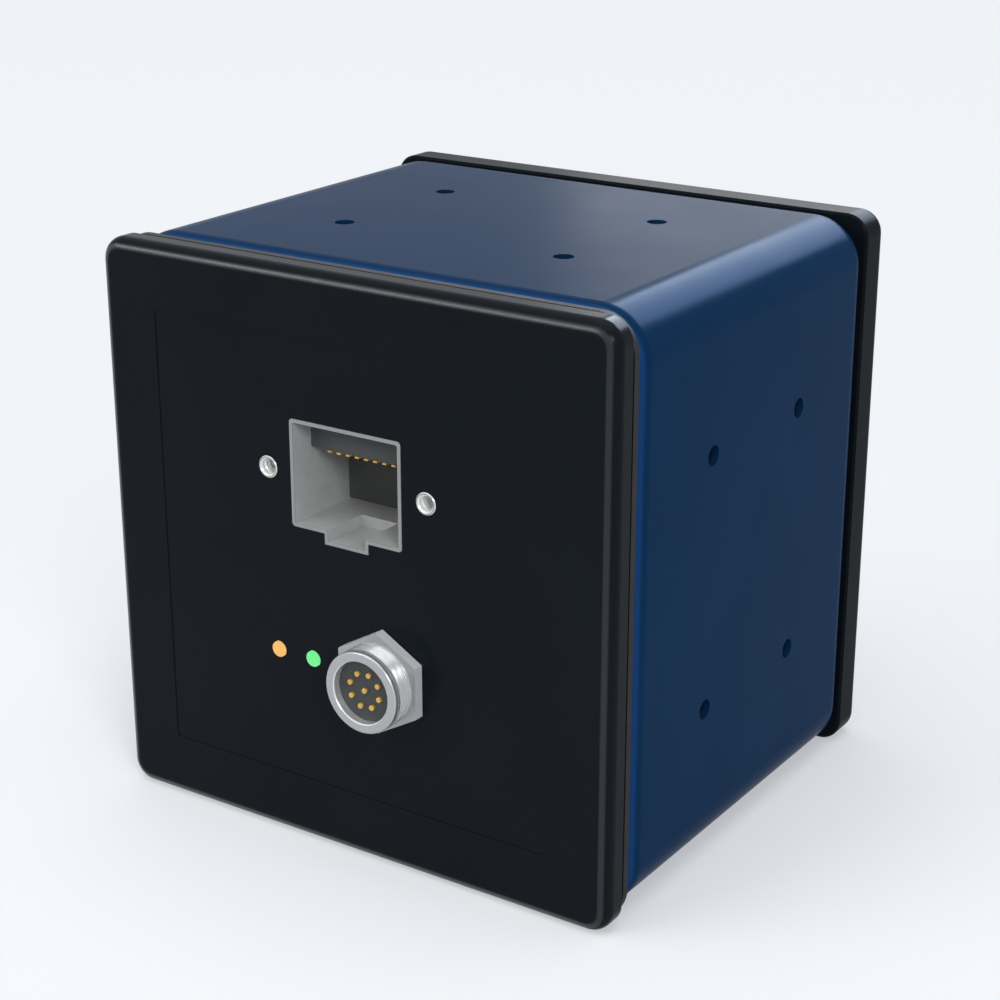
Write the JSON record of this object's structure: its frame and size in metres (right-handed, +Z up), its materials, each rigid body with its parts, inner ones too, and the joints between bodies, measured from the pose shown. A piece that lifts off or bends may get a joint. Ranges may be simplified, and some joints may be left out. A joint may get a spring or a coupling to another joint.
{
  "type": "machine vision camera",
  "caption": "Square machine vision camera with a blue anodised housing between black plates, a rear panel with network jack, round connector and status lights, and a front lens thread.",
  "frame": {"origin": "centre of the four M3 holes in the underside of the housing, in the plane of the underside", "axes": "+Z up, +Y along the optical axis towards the lens, +X to the right seen from behind, so the rear panel faces -Y"},
  "size_m": [0.073, 0.0711, 0.073],
  "materials": {
    "black_anodised": "black anodised, fine matt",
    "blue_anodised": "blue anodised, satin",
    "black_rubber": "matt",
    "black_steel": "blackened",
    "clear_glass": "polished, coated",
    "grey_ceramic": "fired ceramic",
    "sensor_surface": "polished silicon",
    "board": "lacquered",
    "nickel": "nickel plated, satin",
    "chip_black": "moulded",
    "black_plastic": "moulded, matt",
    "tinned_shield": "tinned sheet",
    "gold_contact": "gold plated",
    "light_chip": "moulded",
    "amber_light": "clear, tinted",
    "green_light": "clear, tinted"
  },
  "bodies": {
    "root": {"rear_plate": "black_anodised", "front_plate": "black_anodised", "rear_seal": "black_rubber", "housing": "blue_anodised", "tie_screws": "black_steel", "glass_frame": "black_anodised", "protective_glass": "clear_glass", "sensor_carrier": "black_anodised", "sensor_package": "grey_ceramic", "sensor_die": "sensor_surface", "sensor_cover_glass": "clear_glass", "sensor_board": "board", "processor_board": "board", "interface_board": "board", "front_standoffs": "nickel", "rear_standoffs": "nickel", "board_screws": "nickel", "processor_chip": "chip_black", "memory_chips": "chip_black", "front_board_link": "black_plastic", "rear_board_link": "black_plastic", "jack_shield": "tinned_shield", "jack_block": "black_plastic", "jack_contacts": "gold_contact", "locking_bushes": "nickel", "led_chips": "light_chip", "light_pipe_amber": "amber_light", "light_pipe_green": "green_light", "plug_shell": "nickel", "plug_nut": "nickel", "plug_insert": "black_plastic", "plug_contacts": "gold_contact"}
  },
  "joints": []
}
